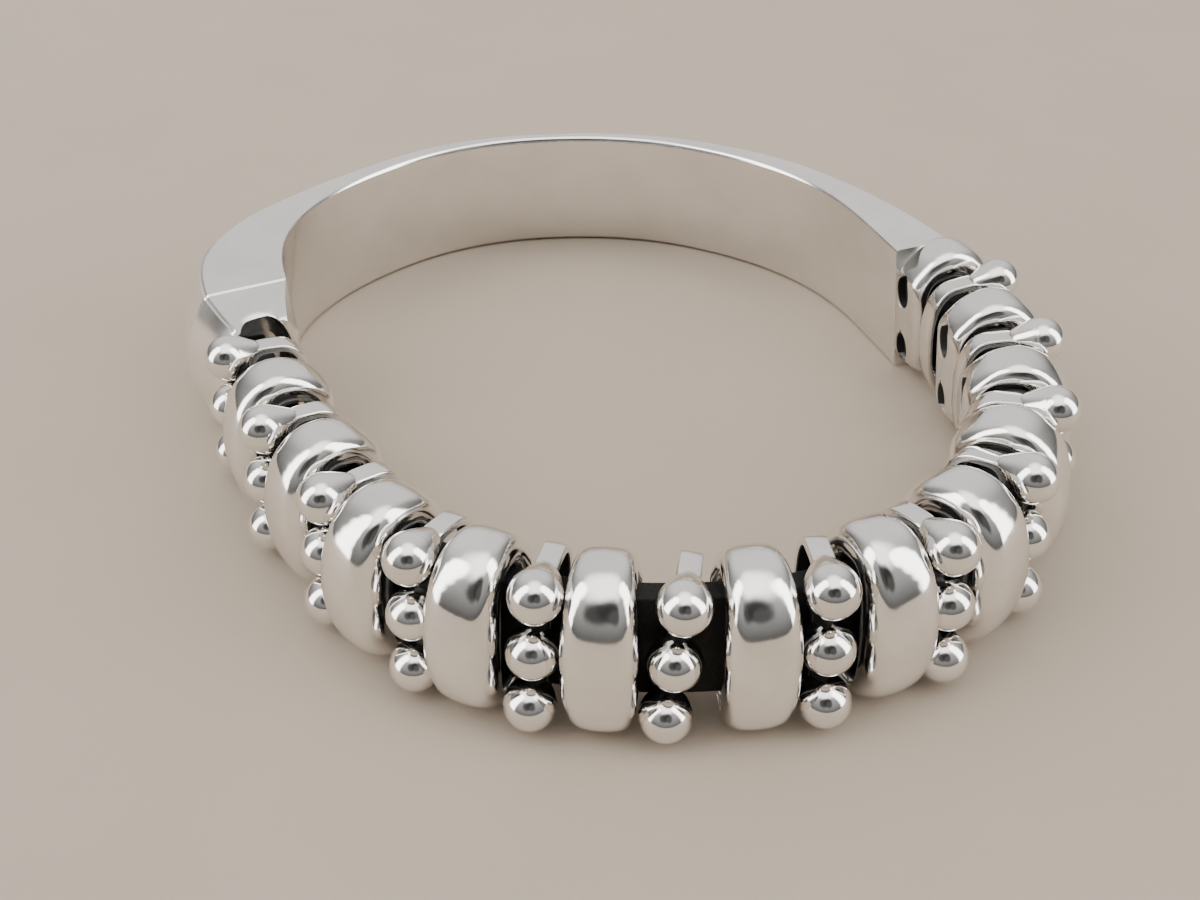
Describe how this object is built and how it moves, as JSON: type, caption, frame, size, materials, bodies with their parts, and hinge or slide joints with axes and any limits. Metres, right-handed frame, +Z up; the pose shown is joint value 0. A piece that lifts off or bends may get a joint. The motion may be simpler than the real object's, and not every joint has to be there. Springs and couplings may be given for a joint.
{
  "type": "bangle bracelet",
  "caption": "Closed silver bracelet lying on its side: a plain rigid half hoop at the back, and a flexible front row of domed ridge links and beaded rings on a black strip.",
  "frame": {"origin": "middle of the bracelet's bounding box, on the surface that it lies on", "axes": "+X along the long axis of the oval, +Z up, which is across the bracelet's width as it lies on its side"},
  "size_m": [0.0738, 0.0636, 0.0131],
  "materials": {
    "polished_silver": "polished silver",
    "satin_silver": "satin silver",
    "black_strip": "matt black"
  },
  "bodies": {
    "root": {"band": "satin_silver", "core_strip": "black_strip", "ridge_link_01": "polished_silver", "ridge_link_02": "polished_silver", "ridge_link_03": "polished_silver", "ridge_link_04": "polished_silver", "ridge_link_05": "polished_silver", "ridge_link_06": "polished_silver", "ridge_link_07": "polished_silver", "ridge_link_08": "polished_silver", "ridge_link_09": "polished_silver", "ridge_link_10": "polished_silver", "ridge_link_11": "polished_silver", "bead_ring_01": "polished_silver", "bead_ring_02": "polished_silver", "bead_ring_03": "polished_silver", "bead_ring_04": "polished_silver", "bead_ring_05": "polished_silver", "bead_ring_06": "polished_silver", "bead_ring_07": "polished_silver", "bead_ring_08": "polished_silver", "bead_ring_09": "polished_silver", "bead_ring_10": "polished_silver", "bead_ring_11": "polished_silver", "bead_ring_12": "polished_silver"}
  },
  "joints": []
}
